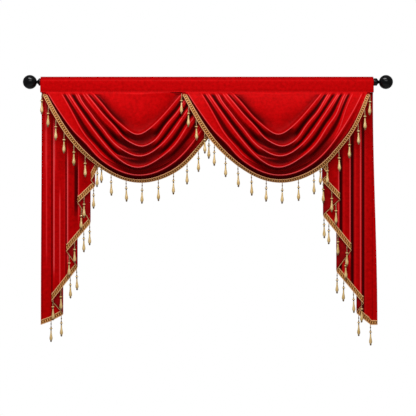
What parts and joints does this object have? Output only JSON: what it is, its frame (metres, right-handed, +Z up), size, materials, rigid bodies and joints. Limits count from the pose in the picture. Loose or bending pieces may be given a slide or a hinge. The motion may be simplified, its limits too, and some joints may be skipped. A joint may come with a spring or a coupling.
{
  "type": "window valance on a curtain rod",
  "caption": "Red draped window valance with overlapping swags, pleated side tails and beaded gold braid, hung on a plain black curtain rod with ball finials.",
  "frame": {"origin": "on the rod's axis, at the middle of the heading", "axes": "+X along the rod to the right as seen from the room, +Y away from the room towards the wall, +Z up"},
  "size_m": [1.668, 0.0949, 1.2138],
  "materials": {
    "cloth": "soft red pile cloth with a low sheen",
    "braid": "gold woven braid with translucent amber drops",
    "rod_black": "gloss black"
  },
  "bodies": {
    "root": {"rod": "rod_black", "finial_left": "rod_black", "finial_right": "rod_black", "heading": "cloth", "swag_left": "cloth", "swag_right": "cloth", "tail_left": "cloth", "tail_right": "cloth", "trim_swag_left": "braid", "trim_swag_right": "braid", "trim_tail_left": "braid", "trim_tail_right": "braid"}
  },
  "joints": []
}
